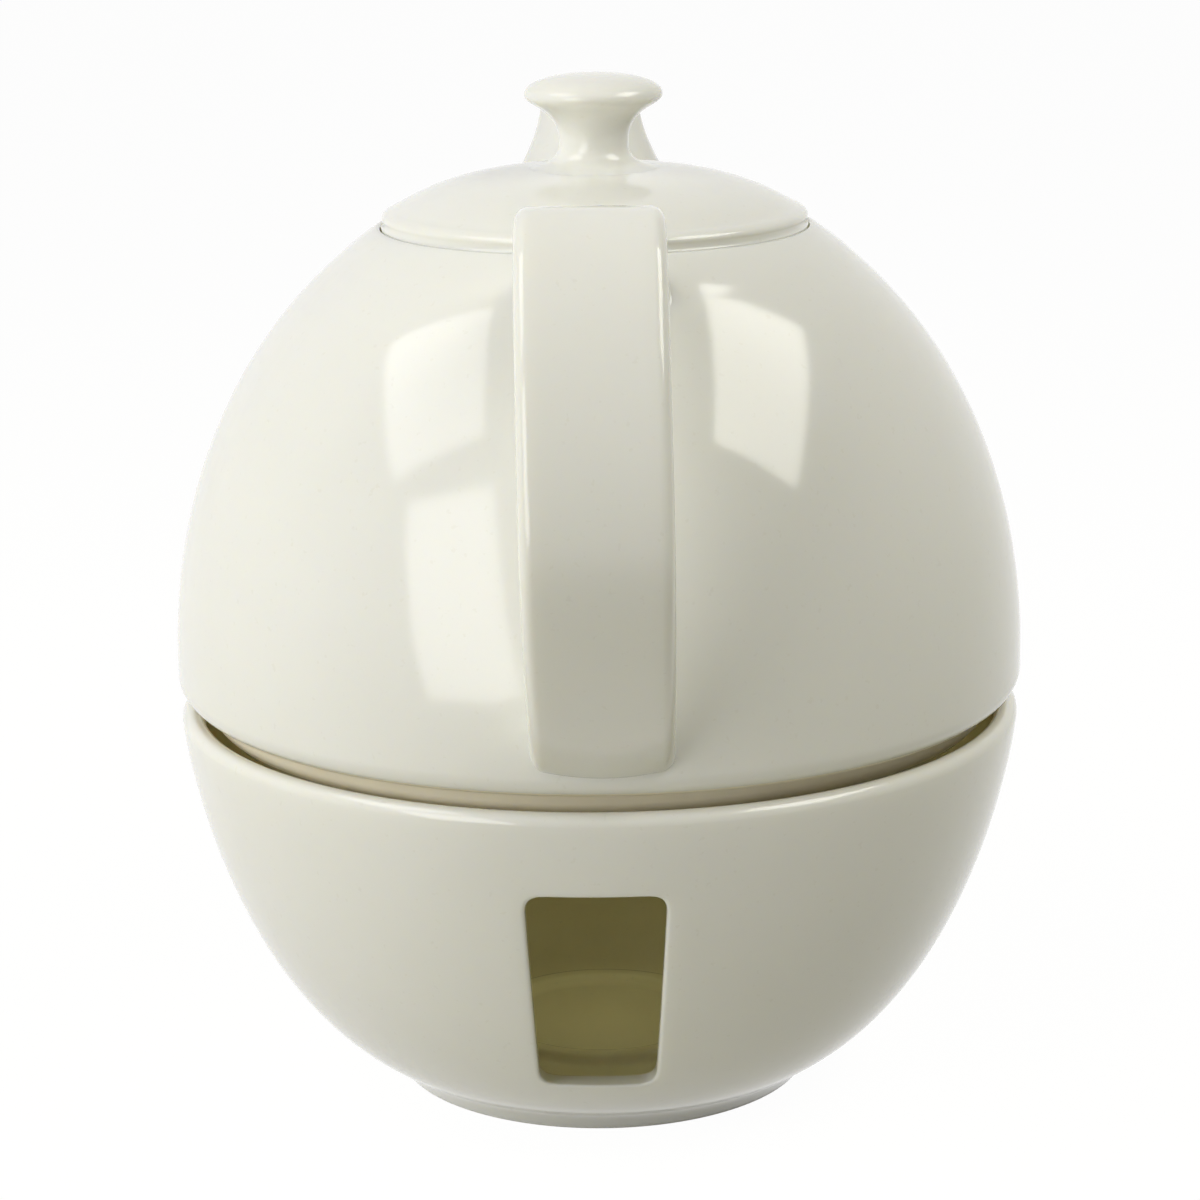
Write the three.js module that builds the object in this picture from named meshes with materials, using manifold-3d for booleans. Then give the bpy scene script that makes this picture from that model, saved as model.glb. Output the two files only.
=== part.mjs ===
// Round teapot on a bowl-shaped warmer, in glazed porcelain.
// Millimetres, +Z up. The origin is on the lathe axis at the table, the handle
// points to -Y and the spout to +Y, and the warmer's window is under the handle.

import * as THREE from 'three';
import { mergeVertices } from 'three/addons/utils/BufferGeometryUtils.js';
import Module from 'manifold-3d';

const wasm = await Module();
wasm.setup();

// Joint line between castings, and the gap under a piece that only rests.
const jointGap = 0.3;
// How far a cut runs on past the clay.
const cutMargin = 5.0;
// Facets round the large forms and round the small ones.
const largeFacets = 48;
const smallFacets = 32;

// Warmer bowl: outside R = rimRadius (1 - (depth / poleDepth)^power)^roundness, with
// the depth from bowlSideDrop below the rim; the lip covers the first bowlSideStart.
// The curve would close poleBelowTable under the table.
const rimRadius = 84.75;
const rimHeight = 78.6;
const poleBelowTable = 2.84;
const bowlPower = 1.4346;
const bowlRoundness = 0.2966;
const bowlSideDrop = 0.6;
const bowlSideStart = 8.0;
const bowlWall = 4.3;
const bowlFloorThickness = 4.0;
const bowlFloorFillet = 4.0;
const bowlFootRadius = 42.4;
const bowlFootHeight = 4.1;
const bowlFootWidth = 4.4;
const bowlFootEdge = 1.4;
const bowlFootNeck = 0.6;
const bowlFootRecess = 3.0;

// Ring on the floor that keeps a tealight in the middle.
const tealightRadius = 20.8;
const ringWidth = 5.0;
const ringHeight = 2.0;
const ringEdge = 0.5;

// Window in the front of the warmer.
const windowSill = 16.8;
const windowHeight = 45.2;
const windowTopWidth = 26.1;
const windowSillWidth = 21.8;
const windowCorner = 3.0;

// Lugs inside the warmer that carry the pot.
const lugCount = 4;
const lugWidth = 11.0;
const lugReach = 18.25;
const lugHeight = 12.6;
const lugDrop = 5.0;

// Pot belly: (R / bellyRadius)^n + (height above the belt / bellyHeight)^n = 1. Its
// rounded edge hangs over the warmer's rim, and a narrower neck goes down inside the rim.
const bellyOverhang = 0.5;
const bellyHeight = 98.2;
const bellyPower = 2.05;
const beltAboveRim = 10.0;
const potWall = 4.2;
const cornerRadius = 4.5;
const cornerDrop = 2.6;
const cornerTurn = 45.0;
const ledgeDrop = 7.0;
const ledgeInset = 3.3;
const neckClearance = 1.25;
const neckLength = 3.5;
const undersideSlope = 45.0;
const potFootRadius = 44.0;
const potFootWidth = 4.6;
const potFootHeight = 2.2;
const potFootEdge = 0.8;
const undersideDrop = 27.6;

// Mouth, gallery and lid.
const lidRadius = 42.4;
const galleryClearance = 0.5;
const galleryDepth = 1.5;
const seatWidth = 6.1;
const seatThickness = 4.4;
const seatEdge = 0.5;
const lidEdgeRise = 1.9;
const lidEdgeRound = 1.0;
const domeHeight = 10.71;
const domePower = 3.175;
const lidWall = 4.0;
const collarClearance = 1.0;
const collarDepth = 9.0;
const collarWall = 3.2;
const collarEdge = 0.8;
const ventDiameter = 4.0;
const ventRadius = 25.0;

// Knob.
const knobRadius = 13.6;
const knobHeight = 18.25;
const crownHeight = 4.1;
const crownPower = 2.2;
const capLip = 2.2;
const capUndercut = 2.6;
const stemRadius = 6.8;
const stemRise = 0.8;
const flareRadius = 3.8;
const flareEdge = 0.6;

// Strap handle: it stands out handleOverhang beyond the belly, in the YZ plane.
const handleOverhang = 37.75;
const handleWidth = 26.2;
const handleThickness = 8.0;
const handleEdge = 3.0;
const handleAboveBelly = 2.6;
const handleTopInset = 35.0;
const handleBulgeRise = 47.4;
const handleRootSetback = 3.6;
const handleRootSink = 5.6;
const handleFootBelowBelt = 1.4;
const handleFootSink = 5.25;
// Pull of the handle's curve at its root, top and foot, and its share at the bulge.
const handleRootPull = [17.0, 11.0];
const handleTopPull = [14.0, 15.0];
const handleBulgeShare = [0.4, 0.3];
const handleFootPull = [9.2, 7.7];

// Spout: centre line in the YZ plane, with oval sections square to it.
const spoutOverhang = 37.75;
const spoutAboveBelly = 3.2;
const spoutRootRise = 33.4;
const spoutRootInset = 73.0;
const spoutBendInset = 45.0;
const spoutBendRise = 12.0;
const spoutNeckInset = 24.0;
const spoutNeckDrop = 33.0;
const spoutTipInset = 7.15;
const spoutTrim = 6.0;
const spoutWall = 3.2;
const spoutRootWidth = 66.0;
const spoutTipWidth = 19.6;
const spoutRootDepth = 72.0;
const spoutTipDepth = 17.6;
// Along the spout, how much of the step from tip to root its width and depth keep.
const spoutStations = [0, 0.25, 0.5, 0.72, 0.86, 1];
const spoutWidthShares = [1, 0.87, 0.655, 0.37, 0.134, 0];
const spoutDepthShares = [1, 0.816, 0.522, 0.25, 0.088, 0];

// Strainer holes through the pot wall behind the spout.
const strainerDiameter = 5.5;
const strainerPitch = 10.5;
const strainerRise = 41.4;

const poleDepth = rimHeight - bowlSideDrop + poleBelowTable;
const bellyRadius = rimRadius + bellyOverhang;
const beltHeight = rimHeight + beltAboveRim;
const bellyCrown = beltHeight + bellyHeight;
const lipCentre = rimHeight - bowlWall / 2;
const floorHeight = bowlFootRecess + bowlFloorThickness;
const ledgeHeight = beltHeight - ledgeDrop;
const neckRadius = rimRadius - bowlWall - neckClearance;
const neckBottom = ledgeHeight - neckLength;
const potFootTop = beltHeight - undersideDrop;
const potFootBottom = potFootTop - potFootHeight;
const mouthRadius = lidRadius - seatWidth;
const galleryRadius = lidRadius + galleryClearance;
const galleryLip = bellyTop(galleryRadius, 0);
const seatHeight = galleryLip - galleryDepth;
const lidUnderside = seatHeight + jointGap;
const lidEdgeHeight = lidUnderside + lidEdgeRise;
const domeTop = lidEdgeHeight + domeHeight;
const handleReach = bellyRadius + handleOverhang;
const handleRootRadius = lidRadius + handleRootSetback;
const spoutReach = bellyRadius + spoutOverhang;
const spoutTopHeight = bellyCrown + spoutAboveBelly;
const spoutRootHeight = beltHeight + spoutRootRise;
const strainerHeight = beltHeight + strainerRise;

const glaze = { color: 0xe3e1d3, roughness: 0.12, metalness: 0.0 };
const glazeInside = { color: 0xdedbcb, roughness: 0.15, metalness: 0.0 };

// Height of the belly's outside, grown by `grow`, at radius r.
function bellyTop(r, grow) {
  const across = Math.pow(r / (bellyRadius + grow), bellyPower);
  return beltHeight + (bellyHeight + grow) * Math.pow(1 - across, 1 / bellyPower);
}

// Height of the lid's dome at radius r.
function domeHeightAt(r) {
  return domeTop - domeHeight * Math.pow(r / lidRadius, domePower);
}

// `count` + 1 values from a to b.
function steps(a, b, count) {
  return Array.from({ length: count + 1 }, (_, i) => THREE.MathUtils.lerp(a, b, i / count));
}

// Arc of [r, z] points about a centre, angles in degrees.
function arc(centreR, centreZ, radius, from, to, count) {
  return steps(from, to, count).map((degrees) => {
    const angle = THREE.MathUtils.degToRad(degrees);
    return [centreR + radius * Math.cos(angle), centreZ + radius * Math.sin(angle)];
  });
}

// An open line of [r, z] points moved sideways: left of its direction is positive.
function offsetLine(points, distance) {
  return points.map(([r, z], i) => {
    const [r0, z0] = points[Math.max(i - 1, 0)];
    const [r1, z1] = points[Math.min(i + 1, points.length - 1)];
    const length = Math.hypot(r1 - r0, z1 - z0);
    return [r - (distance * (z1 - z0)) / length, z + (distance * (r1 - r0)) / length];
  });
}

// Radius at which a line of [r, z] points on its way down passes the height z.
function radiusAt(line, z) {
  const i = line.findIndex((point) => point[1] < z);
  const [[r0, z0], [r1, z1]] = [line[i - 1], line[i]];
  return r0 + ((r1 - r0) * (z0 - z)) / (z0 - z1);
}

// A triangle mesh with merged corners, no flat triangles and its faces outwards.
function tidyTriangles(geometry) {
  const plain = geometry.clone();
  plain.deleteAttribute('normal');
  plain.deleteAttribute('uv');
  const merged = mergeVertices(plain, 1e-5);
  const position = merged.attributes.position;
  const index = merged.index.array;
  const triangles = [];
  const a = new THREE.Vector3();
  const b = new THREE.Vector3();
  const c = new THREE.Vector3();
  let volume = 0;
  for (let i = 0; i < index.length; i += 3) {
    const [p, q, r] = [index[i], index[i + 1], index[i + 2]];
    if (p === q || q === r || r === p) continue;
    a.fromBufferAttribute(position, p);
    b.fromBufferAttribute(position, q);
    c.fromBufferAttribute(position, r);
    volume += a.dot(b.cross(c));
    triangles.push(p, q, r);
  }
  if (volume < 0) triangles.reverse();
  return { vertices: new Float32Array(position.array), triangles: new Uint32Array(triangles) };
}

function toSolid(geometry) {
  const { vertices, triangles } = tidyTriangles(geometry);
  return new wasm.Manifold(new wasm.Mesh({ numProp: 3, vertProperties: vertices, triVerts: triangles }));
}

function toGeometry(solid) {
  const mesh = solid.getMesh();
  const geometry = new THREE.BufferGeometry();
  geometry.setAttribute('position', new THREE.BufferAttribute(mesh.vertProperties, 3));
  geometry.setIndex(new THREE.BufferAttribute(mesh.triVerts, 1));
  geometry.computeVertexNormals();
  return geometry;
}

// A solid turned about Z from [r, z] points that start and end on the axis.
function turned(points, facets) {
  const profile = points.map(([r, z]) => new THREE.Vector2(r, z));
  return toSolid(new THREE.LatheGeometry(profile, facets).rotateX(Math.PI / 2));
}

// An outline in the XZ plane carried along Y from y0 to y1.
function carriedAlongY(shape, y0, y1) {
  const options = { depth: y1 - y0, bevelEnabled: false, curveSegments: 5 };
  return toSolid(new THREE.ExtrudeGeometry(shape, options).rotateX(Math.PI / 2).translate(0, y1, 0));
}

// Outside of the bowl from below the lip down to the top of the foot.
function bowlSide(count) {
  const top = rimHeight - bowlSideDrop;
  const highest = Math.asin(bowlSideStart / poleDepth);
  const lowest = Math.asin((top - bowlFootHeight) / poleDepth);
  return steps(highest, lowest, count).map((angle) => {
    const depth = Math.sin(angle);
    const radius = rimRadius * Math.pow(1 - Math.pow(depth, bowlPower), bowlRoundness);
    return [radius, top - poleDepth * depth];
  });
}

// Inside of the bowl, moved in by `shrink`, from the lip down to the floor.
function bowlInside(shrink) {
  const wall = offsetLine(bowlSide(10), -(bowlWall + shrink));
  const above = wall.filter(([, z]) => z > floorHeight + bowlFloorFillet && z < lipCentre);
  const last = above[above.length - 1];
  const bend = new THREE.QuadraticBezierCurve(
    new THREE.Vector2(...last),
    new THREE.Vector2(last[0] - bowlFloorFillet, floorHeight),
    new THREE.Vector2(last[0] - bowlFloorFillet * 2, floorHeight),
  );
  return [...above, ...bend.getPoints(3).slice(1).map((point) => [point.x, point.y])];
}

// The filled space inside the bowl, moved in by `shrink`.
function bowlSpace(shrink) {
  const inside = bowlInside(shrink);
  const [topR] = inside[0];
  const above = rimHeight + cutMargin;
  return turned([[0, above], [topR, above], ...inside, [0, floorHeight]], largeFacets);
}

function windowCutter() {
  const top = windowSill + windowHeight;
  const corners = [
    new THREE.Vector2(-windowSillWidth / 2, windowSill),
    new THREE.Vector2(windowSillWidth / 2, windowSill),
    new THREE.Vector2(windowTopWidth / 2, top),
    new THREE.Vector2(-windowTopWidth / 2, top),
  ];
  const outline = new THREE.Shape();
  corners.forEach((corner, i) => {
    const before = corners[(i + 3) % 4].clone().sub(corner).setLength(windowCorner).add(corner);
    const after = corners[(i + 1) % 4].clone().sub(corner).setLength(windowCorner).add(corner);
    if (i === 0) outline.moveTo(before.x, before.y);
    else outline.lineTo(before.x, before.y);
    outline.quadraticCurveTo(corner.x, corner.y, after.x, after.y);
  });
  outline.closePath();
  return carriedAlongY(outline, -rimRadius - cutMargin, -tealightRadius - ringWidth);
}

function warmerBowl() {
  const ringOuter = tealightRadius + ringWidth;
  const ringTop = floorHeight + ringHeight;
  const footInner = bowlFootRadius - bowlFootWidth;
  const lip = arc(rimRadius - bowlWall / 2, lipCentre, bowlWall / 2, 180, 0, 6);
  const profile = [
    [0, floorHeight],
    [tealightRadius, floorHeight],
    [tealightRadius + ringEdge, ringTop - ringEdge],
    [tealightRadius + ringWidth / 2, ringTop],
    [ringOuter - ringEdge, ringTop - ringEdge],
    [ringOuter, floorHeight],
    ...bowlInside(0).reverse(),
    ...lip,
    ...bowlSide(12),
    [bowlFootRadius + bowlFootNeck, bowlFootHeight - bowlFootNeck],
    ...arc(bowlFootRadius - bowlFootEdge, bowlFootEdge, bowlFootEdge, 0, -90, 3),
    [footInner, 0],
    [footInner - bowlFootNeck, bowlFootRecess],
    [0, bowlFootRecess],
  ];
  return turned(profile, largeFacets).subtract(windowCutter());
}

// A stud with a round nose, cut to the bowl's inside and to the pot's underside.
function restLug(index) {
  const half = lugWidth / 2;
  const noseCentre = rimRadius - lugReach + half;
  const lugBottom = rimHeight - lugDrop - lugHeight;
  const outline = new THREE.Shape();
  outline.moveTo(rimRadius, -half);
  outline.lineTo(rimRadius, half);
  outline.lineTo(noseCentre, half);
  outline.absarc(noseCentre, 0, half, Math.PI / 2, (Math.PI * 3) / 2, false);
  outline.closePath();
  const options = { depth: lugHeight, bevelEnabled: false, curveSegments: 8 };
  const angle = ((index + 0.5) * 2 * Math.PI) / lugCount;
  const stud = new THREE.ExtrudeGeometry(outline, options).translate(0, 0, lugBottom).rotateZ(angle);
  return toSolid(stud).intersect(bowlSpace(jointGap)).subtract(potFilled(jointGap));
}

// Outside of the pot, grown by `grow`, from the radius `from` down to the foot.
function potOutside(from, grow, count = 11) {
  const top = Math.acos(Math.pow(from / (bellyRadius + grow), bellyPower / 2));
  const belly = steps(top, 0, count).map((angle) => [
    (bellyRadius + grow) * Math.pow(Math.cos(angle), 2 / bellyPower),
    beltHeight + (bellyHeight + grow) * Math.pow(Math.sin(angle), 2 / bellyPower),
  ]);
  const cornerZ = beltHeight - cornerDrop;
  const corner = arc(bellyRadius - cornerRadius, cornerZ, cornerRadius + grow, 0, -cornerTurn, 3);
  const run = (neckBottom - potFootTop) / Math.tan(THREE.MathUtils.degToRad(undersideSlope));
  const bend = new THREE.QuadraticBezierCurve(
    new THREE.Vector2(neckRadius, neckBottom),
    new THREE.Vector2(neckRadius - run, potFootTop),
    new THREE.Vector2(potFootRadius, potFootTop),
  );
  const below = [
    [bellyRadius - ledgeInset, ledgeHeight],
    [neckRadius, ledgeHeight],
    ...bend.getPoints(5).map((point) => [point.x, point.y]),
  ];
  return [...belly, ...corner, ...offsetLine(below, grow)];
}

// The pot as if it were solid, grown by `grow`, for cutting what joins it.
function potFilled(grow) {
  const outside = potOutside(mouthRadius / 2, grow);
  const top = outside[0][1];
  const bottom = potFootBottom - grow;
  return turned([[0, top], ...outside, [potFootRadius + grow, bottom], [0, bottom]], largeFacets);
}

// The space inside the pot, from the underside of the mouth ring down.
function potInside() {
  const ceiling = seatHeight - seatThickness;
  const wall = offsetLine(potOutside(mouthRadius, 0), -potWall);
  const below = wall.filter(([, z], i) => z < ceiling && z < wall[i - 1][1]);
  return [[radiusAt(wall, ceiling), ceiling], ...below, [0, potFootTop + potWall]];
}

function strainerHoles() {
  const spots = [[0, 0]];
  for (let i = 0; i < 6; i += 1) {
    const angle = (i * Math.PI) / 3;
    spots.push([strainerPitch * Math.cos(angle), strainerPitch * Math.sin(angle)]);
  }
  return spots.map(([x, z]) => {
    const hole = new THREE.Shape().absarc(x, strainerHeight + z, strainerDiameter / 2, 0, Math.PI * 2);
    return carriedAlongY(hole, bellyRadius / 2, bellyRadius + cutMargin);
  });
}

function potBody() {
  const footInner = potFootRadius - potFootWidth;
  const shell = [
    [mouthRadius, seatHeight - seatThickness],
    [mouthRadius, seatHeight - seatEdge],
    [mouthRadius + seatEdge, seatHeight],
    [galleryRadius, seatHeight],
    [galleryRadius, galleryLip - seatEdge],
    ...potOutside(galleryRadius + seatEdge, 0),
    [potFootRadius, potFootBottom + potFootEdge],
    [potFootRadius - potFootEdge, potFootBottom],
    [footInner + potFootEdge, potFootBottom],
    [footInner, potFootTop],
    [0, potFootTop],
  ];
  let body = turned([...potInside().reverse(), ...shell], largeFacets);
  strainerHoles().forEach((hole) => {
    body = body.subtract(hole);
  });
  return body;
}

// Centre line of the handle: root on the shoulder, over the top, down to the belt.
function handlePath() {
  const half = handleThickness / 2;
  const at = (y, z) => new THREE.Vector3(0, -y, z);
  const root = at(handleRootRadius, bellyTop(handleRootRadius, 0) - handleRootSink);
  const top = at(handleReach - handleTopInset, bellyCrown + handleAboveBelly - half);
  const bulge = at(handleReach - half, beltHeight + handleBulgeRise);
  const foot = at(bellyRadius - handleFootSink, beltHeight - handleFootBelowBelt);
  const rise = top.z - bulge.z;
  const fall = bulge.z - foot.z;
  const path = new THREE.CurvePath();
  path.add(new THREE.CubicBezierCurve3(
    root,
    root.clone().add(at(...handleRootPull)),
    top.clone().sub(at(handleTopPull[0], 0)),
    top,
  ));
  path.add(new THREE.CubicBezierCurve3(
    top,
    top.clone().add(at(handleTopPull[1], 0)),
    bulge.clone().add(at(0, rise * handleBulgeShare[0])),
    bulge,
  ));
  path.add(new THREE.CubicBezierCurve3(
    bulge,
    bulge.clone().sub(at(0, fall * handleBulgeShare[1])),
    foot.clone().add(at(...handleFootPull)),
    foot,
  ));
  return path;
}

function roundedRectangle(width, height, radius) {
  const [x, y] = [width / 2, height / 2];
  const outline = new THREE.Shape();
  outline.moveTo(-x + radius, -y);
  outline.lineTo(x - radius, -y);
  outline.absarc(x - radius, -y + radius, radius, -Math.PI / 2, 0);
  outline.absarc(x - radius, y - radius, radius, 0, Math.PI / 2);
  outline.absarc(-x + radius, y - radius, radius, Math.PI / 2, Math.PI);
  outline.absarc(-x + radius, -y + radius, radius, Math.PI, Math.PI * 1.5);
  return outline;
}

function potHandle() {
  const section = roundedRectangle(handleWidth, handleThickness, handleEdge);
  const options = { steps: 38, extrudePath: handlePath(), curveSegments: 2, bevelEnabled: false };
  return toSolid(new THREE.ExtrudeGeometry(section, options)).subtract(potFilled(jointGap));
}

// The spout's centre line, from inside the pot to just past its lip.
function spoutLine() {
  const at = (y, z) => new THREE.Vector3(0, y, z);
  return new THREE.CubicBezierCurve3(
    at(spoutReach - spoutRootInset, spoutRootHeight),
    at(spoutReach - spoutBendInset, spoutRootHeight + spoutBendRise),
    at(spoutReach - spoutNeckInset, spoutTopHeight - spoutNeckDrop),
    at(spoutReach - spoutTipInset, spoutTopHeight + spoutTrim),
  );
}

// Half the spout's width or depth along its line, between a tip and a root value.
function spoutHalf(tip, root, shares) {
  const values = shares.map((share) => (tip + (root - tip) * share) / 2);
  return new THREE.SplineCurve(values.map((value, i) => new THREE.Vector2(spoutStations[i], value)));
}

// Oval sections along the spout, thinner by `inset`, joined into a closed solid.
function spoutLoft(inset, along, around) {
  const line = spoutLine();
  const sideways = new THREE.Vector3(1, 0, 0);
  const halfWidths = spoutHalf(spoutTipWidth, spoutRootWidth, spoutWidthShares);
  const halfDepths = spoutHalf(spoutTipDepth, spoutRootDepth, spoutDepthShares);
  const positions = [];
  const faces = [];
  for (let i = 0; i <= along; i += 1) {
    const t = i / along;
    const centre = line.getPoint(t);
    const upward = new THREE.Vector3().crossVectors(sideways, line.getTangent(t));
    const halfWidth = halfWidths.getPoint(t).y - inset;
    const halfDepth = halfDepths.getPoint(t).y - inset;
    for (let j = 0; j < around; j += 1) {
      const angle = (2 * Math.PI * j) / around;
      const point = centre.clone();
      point.addScaledVector(sideways, halfWidth * Math.cos(angle));
      point.addScaledVector(upward, halfDepth * Math.sin(angle));
      positions.push(point.x, point.y, point.z);
    }
  }
  const at = (i, j) => i * around + (j % around);
  for (let i = 0; i < along; i += 1) {
    for (let j = 0; j < around; j += 1) {
      faces.push(at(i, j), at(i, j + 1), at(i + 1, j + 1));
      faces.push(at(i, j), at(i + 1, j + 1), at(i + 1, j));
    }
  }
  for (let j = 1; j < around - 1; j += 1) {
    faces.push(at(0, 0), at(0, j + 1), at(0, j));
    faces.push(at(along, 0), at(along, j), at(along, j + 1));
  }
  const geometry = new THREE.BufferGeometry();
  geometry.setAttribute('position', new THREE.Float32BufferAttribute(positions, 3));
  geometry.setIndex(faces);
  return toSolid(geometry);
}

function potSpout() {
  const size = bellyRadius;
  const above = new THREE.BoxGeometry(size, size, size).translate(0, spoutReach, spoutTopHeight + size / 2);
  return spoutLoft(0, 14, smallFacets)
    .subtract(spoutLoft(spoutWall, 14, smallFacets))
    .subtract(potFilled(jointGap))
    .subtract(toSolid(above));
}

function lidCover() {
  const collarRadius = mouthRadius - collarClearance;
  const collarInner = collarRadius - collarWall;
  const collarBottom = lidUnderside - collarDepth;
  const dome = steps(lidRadius - lidEdgeRound, 0, 8).map((r) => [r, domeHeightAt(r)]);
  const ceiling = steps(0, collarInner, 5).map((r) => [r, domeHeightAt(r) - lidWall]);
  const profile = [
    ...ceiling,
    [collarInner, collarBottom + collarEdge],
    [collarInner + collarEdge, collarBottom],
    [collarRadius - collarEdge, collarBottom],
    [collarRadius, collarBottom + collarEdge],
    [collarRadius, lidUnderside],
    ...arc(lidRadius - lidEdgeRise, lidEdgeHeight, lidEdgeRise, -90, 0, 3),
    ...arc(lidRadius - lidEdgeRound, lidEdgeHeight, lidEdgeRound, 0, 45, 2).slice(1),
    ...dome,
  ];
  const vent = new THREE.CylinderGeometry(ventDiameter / 2, ventDiameter / 2, domeHeight * 2, 12);
  vent.rotateX(Math.PI / 2).translate(0, ventRadius, domeTop - lidWall);
  return turned(profile, largeFacets).subtract(toSolid(vent));
}

// The dome's outside raised by `grow` and filled below, for cutting the knob.
function domeFilled(grow) {
  const reach = knobRadius + cutMargin;
  const below = domeTop - domeHeight;
  const dome = steps(0, reach, 6).map((r) => [r, domeHeightAt(r) + grow]);
  return turned([...dome, [reach, below], [0, below]], smallFacets);
}

function lidKnob() {
  const capEdge = domeTop + knobHeight - crownHeight;
  const flareTop = domeTop + flareEdge + flareRadius;
  const crown = steps(0, Math.PI / 2, 6).map((angle) => [
    knobRadius * Math.pow(Math.sin(angle), 2 / crownPower),
    capEdge + crownHeight * Math.pow(Math.cos(angle), 2 / crownPower),
  ]);
  const neck = new THREE.CubicBezierCurve(
    new THREE.Vector2(knobRadius, capEdge),
    new THREE.Vector2(knobRadius, capEdge - capLip),
    new THREE.Vector2(stemRadius, capEdge - capUndercut),
    new THREE.Vector2(stemRadius, flareTop + stemRise),
  );
  const underCap = neck.getPoints(6).map((point) => [point.x, point.y]).slice(1);
  const baseRadius = stemRadius + flareRadius;
  const flare = arc(baseRadius, flareTop, flareRadius, 180, 270, 4);
  const below = domeTop - lidWall;
  const profile = [...crown, ...underCap, ...flare, [baseRadius, below], [0, below]];
  return turned(profile, smallFacets).subtract(domeFilled(jointGap));
}

const teapotWithWarmer = new THREE.Group();

function addPiece(name, solid, finish) {
  const piece = new THREE.Mesh(toGeometry(solid), new THREE.MeshStandardMaterial(finish));
  piece.name = name;
  teapotWithWarmer.add(piece);
}

addPiece('warmer_bowl', warmerBowl(), glazeInside);
for (let i = 0; i < lugCount; i += 1) {
  addPiece(`rest_lug_${i + 1}`, restLug(i), glazeInside);
}
addPiece('pot_body', potBody(), glaze);
addPiece('pot_handle', potHandle(), glaze);
addPiece('pot_spout', potSpout(), glaze);
addPiece('lid_cover', lidCover(), glaze);
addPiece('lid_knob', lidKnob(), glaze);

export default teapotWithWarmer;
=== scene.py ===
import bisect
import math

import bmesh
import bpy
from mathutils import Matrix, Vector


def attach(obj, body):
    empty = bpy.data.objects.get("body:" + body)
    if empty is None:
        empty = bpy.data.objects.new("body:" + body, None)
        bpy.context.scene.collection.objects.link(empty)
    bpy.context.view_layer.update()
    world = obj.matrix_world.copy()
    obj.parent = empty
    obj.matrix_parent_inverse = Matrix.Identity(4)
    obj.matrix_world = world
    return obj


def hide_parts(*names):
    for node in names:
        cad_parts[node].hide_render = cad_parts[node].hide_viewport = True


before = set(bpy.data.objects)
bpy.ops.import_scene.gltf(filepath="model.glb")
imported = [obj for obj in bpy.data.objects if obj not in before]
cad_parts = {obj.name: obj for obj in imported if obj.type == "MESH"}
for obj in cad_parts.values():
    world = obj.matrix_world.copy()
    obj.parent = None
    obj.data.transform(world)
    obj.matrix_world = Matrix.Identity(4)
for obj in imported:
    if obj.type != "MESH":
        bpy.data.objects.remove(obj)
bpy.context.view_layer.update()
print("frame loaded")

mm = 0.001
fullTurn = 2 * math.pi
seamWidth = 2e-6  # metres within which vertices are one


# picking, drawing and placing, used by every piece

def editOn():
    bpy.ops.object.mode_set(mode="EDIT")
    bpy.ops.mesh.select_mode(type="VERT")


def editOff():
    bpy.ops.object.mode_set(mode="OBJECT")


def closeSeams():
    bpy.ops.mesh.select_all(action="SELECT")
    bpy.ops.mesh.remove_doubles(threshold=seamWidth)
    bpy.ops.mesh.normals_make_consistent(inside=False)


def arc(centre, radius, start, end, count):
    # points [r, z] round a centre, in degrees
    points = []
    for i in range(count + 1):
        angle = math.radians(start + (end - start) * i / count)
        points.append((centre[0] + radius * math.cos(angle), centre[1] + radius * math.sin(angle)))
    return points


def mixPoints(shares, points):
    # the points added up, each times its share
    return tuple(sum(share * value for share, value in zip(shares, values)) for values in zip(*points))


def bend(a, b, c, count):
    # quadratic curve from a to c, pulled towards b
    points = []
    for i in range(count + 1):
        t = i / count
        points.append(mixPoints(((1 - t) ** 2, 2 * t * (1 - t), t * t), (a, b, c)))
    return points


def cubic(a, b, c, d, count):
    # curve from a to d with the handles b and c
    points = []
    for i in range(count + 1):
        t = i / count
        shares = ((1 - t) ** 3, 3 * t * (1 - t) ** 2, 3 * t * t * (1 - t), t ** 3)
        points.append(mixPoints(shares, (a, b, c, d)))
    return points


def sideStep(line, distance):
    # a line of [r, z] points moved to its left
    moved = []
    for i, (r, z) in enumerate(line):
        before = line[max(i - 1, 0)]
        after = line[min(i + 1, len(line) - 1)]
        run = math.hypot(after[0] - before[0], after[1] - before[1])
        moved.append((r - distance * (after[1] - before[1]) / run,
                      z + distance * (after[0] - before[0]) / run))
    return moved


def radiusOn(line, z):
    # radius at a height of a line of [r, z] points that falls
    i = bisect.bisect_left(line, -z, key=lambda point: -point[1])
    i = min(max(i, 1), len(line) - 1)
    (r0, z0), (r1, z1) = line[i - 1], line[i]
    return r0 + (r1 - r0) * min(max((z0 - z) / max(z0 - z1, 1e-9), 0), 1)


def drawProfile(name, profile):
    # one vertex drawn along [r, z] points in millimetres
    bpy.ops.object.select_all(action="DESELECT")
    bpy.ops.mesh.primitive_plane_add(size=mm, location=(profile[0][0] * mm, 0, profile[0][1] * mm))
    piece = bpy.context.object
    piece.name = name
    bpy.ops.object.transform_apply(location=True, rotation=True, scale=True)
    editOn()
    bpy.ops.mesh.select_all(action="SELECT")
    bpy.ops.mesh.merge(type="CENTER")
    for (r0, z0), (r1, z1) in zip(profile, profile[1:]):
        bpy.ops.mesh.extrude_region_move(
            TRANSFORM_OT_translate={"value": ((r1 - r0) * mm, 0, (z1 - z0) * mm)})
    return piece


def spinProfile(sectors):
    # sectors are (degrees, steps), and together a full turn
    bpy.ops.mesh.select_all(action="SELECT")
    for degrees, steps in sectors:
        bpy.ops.mesh.spin(steps=steps, angle=math.radians(degrees), center=(0, 0, 0), axis=(0, 0, 1))
    closeSeams()


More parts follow.
